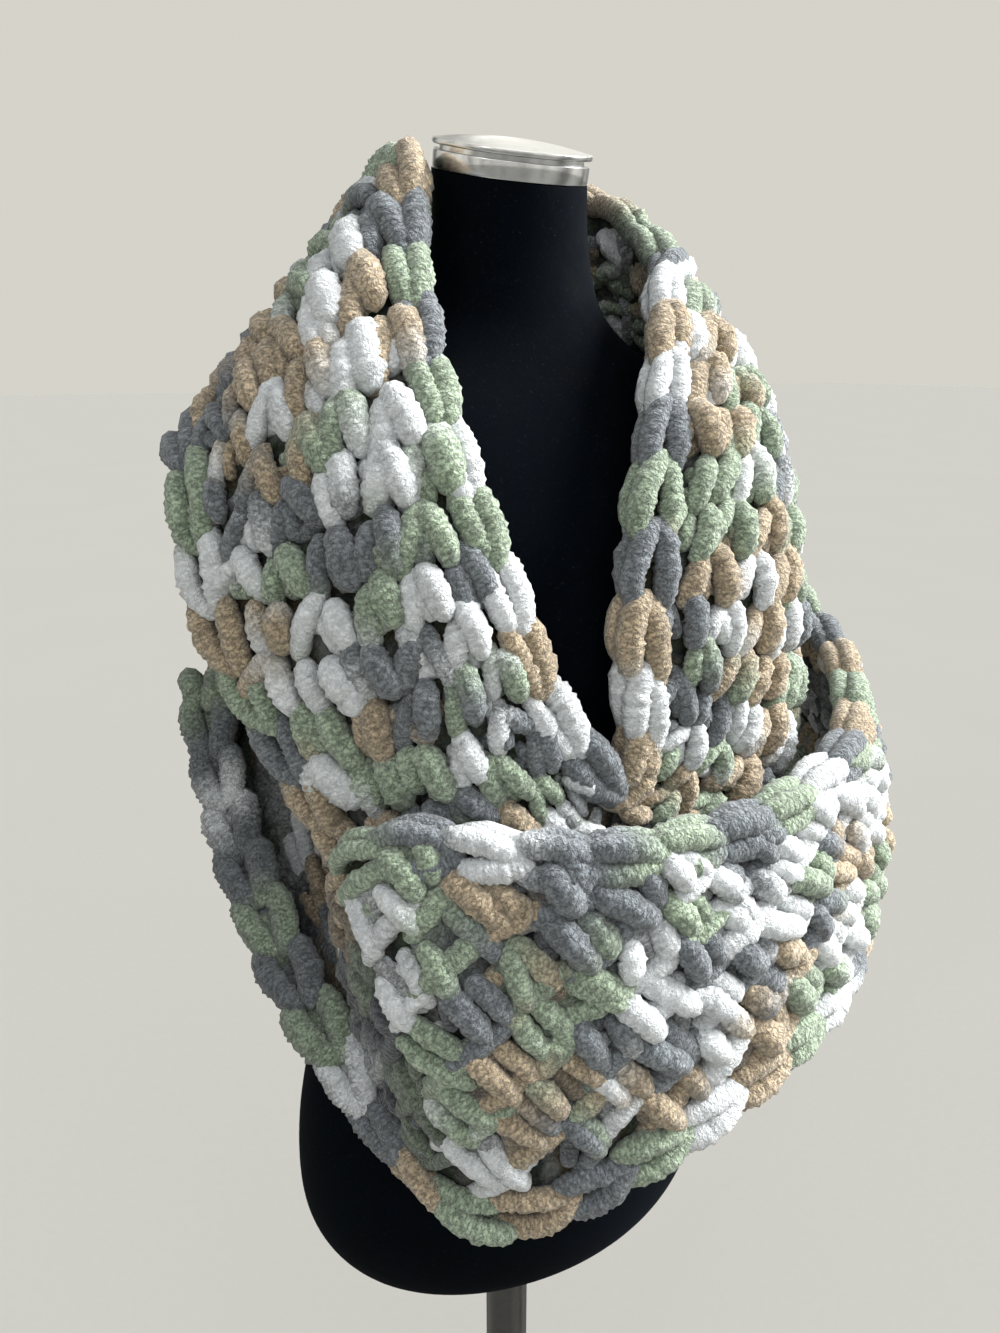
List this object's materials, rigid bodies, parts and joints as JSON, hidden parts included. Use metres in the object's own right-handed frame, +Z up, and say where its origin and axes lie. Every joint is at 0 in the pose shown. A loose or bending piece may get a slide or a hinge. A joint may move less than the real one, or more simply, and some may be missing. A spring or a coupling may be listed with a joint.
{
  "type": "crochet infinity scarf on a limbless dress form",
  "caption": "Chunky chenille crochet infinity scarf, an endless band wound twice round the neck and shoulders of a velvet dress form on a round floor stand.",
  "frame": {"origin": "centre of the base plate's underside, on the axis of the pole", "axes": "+Z up along the pole, -Y towards the front of the form, +X towards the form's right in a front view"},
  "size_m": [0.4743, 0.4113, 1.1676],
  "materials": {
    "chenille_yarn": "thick chenille yarn in runs of white, sage, tan and slate grey",
    "velvet": "near-black velvet",
    "cap_metal": "polished",
    "stand_metal": "dark satin"
  },
  "bodies": {
    "root": {"scarf_right_panel": "chenille_yarn", "scarf_collar": "chenille_yarn", "scarf_back_in": "chenille_yarn", "scarf_left_sling": "chenille_yarn", "scarf_front": "chenille_yarn", "scarf_right_side": "chenille_yarn", "scarf_back_out": "chenille_yarn", "scarf_left_panel": "chenille_yarn", "form_torso": "velvet", "neck_band": "cap_metal", "neck_cap": "cap_metal", "pole": "stand_metal", "base_plate": "stand_metal"}
  },
  "joints": []
}
